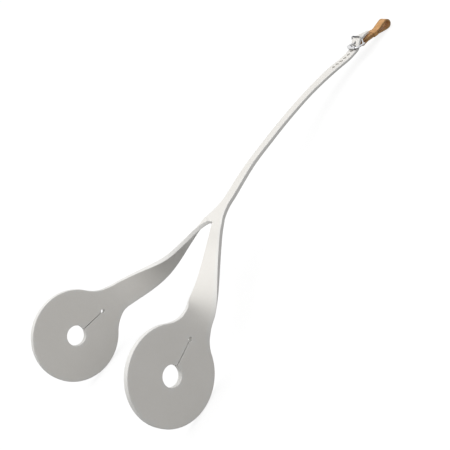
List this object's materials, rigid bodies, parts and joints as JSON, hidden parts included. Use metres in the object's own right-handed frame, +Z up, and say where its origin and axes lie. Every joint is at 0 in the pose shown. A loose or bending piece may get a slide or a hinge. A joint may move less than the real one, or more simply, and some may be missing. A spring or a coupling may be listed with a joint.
{
  "type": "cheeker noseband",
  "caption": "Soft rubber forked noseband strap with a slit disc on each arm for the bit ring, a roller buckle at the top and a leather head loop.",
  "frame": {"origin": "middle of the part's box, on the floor it stands on", "axes": "+X to the right-hand disc, +Y along the strap from the discs to the head loop, +Z up"},
  "size_m": [0.1852, 0.548, 0.0898],
  "materials": {
    "rubber": "satin moulded",
    "metal": "bright plated",
    "leather": "smooth tan"
  },
  "bodies": {
    "strap": {"centre_strap": "rubber", "buckle_frame": "metal"},
    "left_cheek": {"left_cheek_arm": "rubber"},
    "right_cheek": {"right_cheek_arm": "rubber"},
    "roller": {"buckle_roller": "metal"},
    "tongue": {"buckle_tongue": "metal"},
    "head_loop": {"head_loop": "leather", "strap_keeper": "leather"}
  },
  "joints": [
    {"name": "left_arm_flex", "type": "hinge", "parent": "strap", "child": "left_cheek", "pos_m": [-0.01286, -0.07393, 0.05513], "axis": [0.9083, -0.4103, 0.0815], "range_deg": [-25, 25], "stiffness_Nm_per_rad": 0.6},
    {"name": "right_arm_flex", "type": "hinge", "parent": "strap", "child": "right_cheek", "pos_m": [0.00556, -0.07205, 0.05688], "axis": [0.8072, 0.5846, 0.0815], "range_deg": [-25, 25], "stiffness_Nm_per_rad": 0.6},
    {"name": "roller_spin", "type": "hinge", "parent": "strap", "child": "roller", "pos_m": [-0.06862, 0.21594, 0.0166], "axis": [0.9976, -0.0698, 0], "continuous": true},
    {"name": "tongue_swing", "type": "hinge", "parent": "strap", "child": "tongue", "pos_m": [-0.06775, 0.22841, 0.013], "axis": [0.9976, -0.0698, 0], "range_deg": [-3, 0]},
    {"name": "head_loop_swing", "type": "hinge", "parent": "strap", "child": "head_loop", "pos_m": [-0.06775, 0.22841, 0.013], "axis": [0.9976, -0.0698, 0], "range_deg": [-30, 0]}
  ]
}
